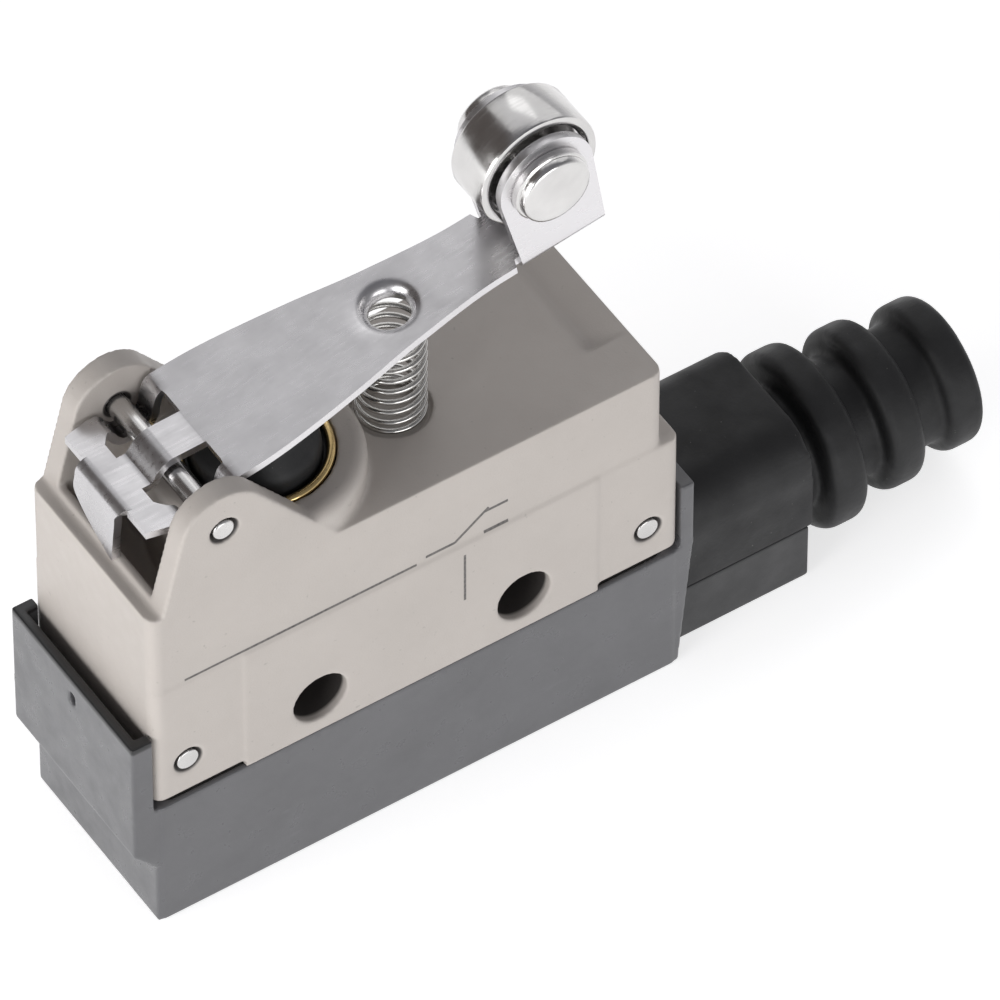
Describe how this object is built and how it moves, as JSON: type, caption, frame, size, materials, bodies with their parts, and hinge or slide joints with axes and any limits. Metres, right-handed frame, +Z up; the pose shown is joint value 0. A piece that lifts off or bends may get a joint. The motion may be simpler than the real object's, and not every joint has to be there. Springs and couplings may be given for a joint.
{
  "type": "roller-lever limit switch",
  "caption": "Slim enclosed limit switch: sprung hinged lever with a steel roller works a sealed plunger and a snap-action switch; through mounting holes and a rubber cable boot.",
  "frame": {"origin": "midway between the two mounting holes, on their axes' level and in the middle of the body's thickness", "axes": "+X along the body towards the cable boot, +Y square to the rear mounting face, +Z up from the bottom cover to the lever and roller"},
  "size_m": [0.0737, 0.016, 0.0565],
  "materials": {
    "case_paint": "satin beige-grey enamel on a die casting",
    "cover_plastic": "fine-grained moulded grey plastic",
    "saddle_plastic": "fine-grained moulded dark plastic",
    "boot_rubber": "matt moulded black rubber",
    "seal_rubber": "matt black rubber",
    "diaphragm_rubber": "smooth black rubber",
    "lever_steel": "satin rolled stainless sheet with bright sheared edges",
    "roller_steel": "ground and polished stainless",
    "rivet_steel": "polished stainless",
    "pin_steel": "ground steel",
    "spring_steel": "drawn stainless wire",
    "zinc_steel": "zinc-plated steel",
    "ring_brass": "bright yellow metal",
    "bush_brass": "turned brass",
    "switch_resin": "dark moulded resin",
    "button_plastic": "smooth plastic",
    "terminal_brass": "stamped brass",
    "blade_copper": "rolled copper alloy",
    "contact_silver": "silver alloy"
  },
  "bodies": {
    "enclosure": {"case": "case_paint", "bottom_cover": "cover_plastic", "cover_seal": "seal_rubber", "cover_screw": "zinc_steel", "retaining_pins": "pin_steel", "cable_boot": "boot_rubber", "boot_saddle": "saddle_plastic", "hinge_pin": "pin_steel", "lever_spring": "spring_steel", "plunger_diaphragm": "diaphragm_rubber", "diaphragm_ring": "ring_brass", "plunger_bush": "bush_brass", "switch_base": "switch_resin", "switch_cover": "switch_resin", "com_terminal": "terminal_brass", "no_terminal": "terminal_brass", "nc_terminal": "terminal_brass", "terminal_screws": "zinc_steel", "terminal_washers": "zinc_steel", "fixed_contacts": "contact_silver"},
    "lever_arm": {"lever": "lever_steel", "roller_axle": "rivet_steel"},
    "roller_wheel": {"roller": "roller_steel"},
    "plunger_unit": {"plunger": "pin_steel"},
    "button_unit": {"pusher": "pin_steel", "switch_button": "button_plastic", "overtravel_spring": "spring_steel"},
    "blade_unit": {"snap_blade": "blade_copper", "moving_contact": "contact_silver"}
  },
  "joints": [
    {"name": "lever_hinge", "type": "hinge", "parent": "enclosure", "child": "lever_arm", "pos_m": [-0.016, 0, 0.0226], "axis": [0, 1, 0], "range_deg": [0, 12], "stiffness_Nm_per_rad": 0.1, "springref_deg": -20.05, "deforming": ["lever_spring"]},
    {"name": "roller_spin", "type": "hinge", "parent": "lever_arm", "child": "roller_wheel", "pos_m": [0.0136, 0, 0.036], "axis": [0, 1, 0], "continuous": true},
    {"name": "plunger_slide", "type": "slide", "parent": "enclosure", "child": "plunger_unit", "axis": [0, 0, -1], "range_m": [0, 0.00165], "deforming": ["plunger_diaphragm"]},
    {"name": "button_slide", "type": "slide", "parent": "enclosure", "child": "button_unit", "axis": [0, 0, -1], "range_m": [0, 0.0002], "deforming": ["overtravel_spring"]},
    {"name": "blade_swing", "type": "hinge", "parent": "enclosure", "child": "blade_unit", "pos_m": [-0.01225, 0, 0.0109], "axis": [0, 1, 0], "range_deg": [0, 3.05]}
  ],
  "couplings": [
    {"joint": "plunger_slide", "follows": "lever_hinge", "m_per_rad": 0.0078},
    {"joint": "button_slide", "follows": "lever_hinge", "m_per_rad": 0.0009},
    {"joint": "blade_swing", "follows": "lever_hinge", "ratio": 0.253}
  ]
}
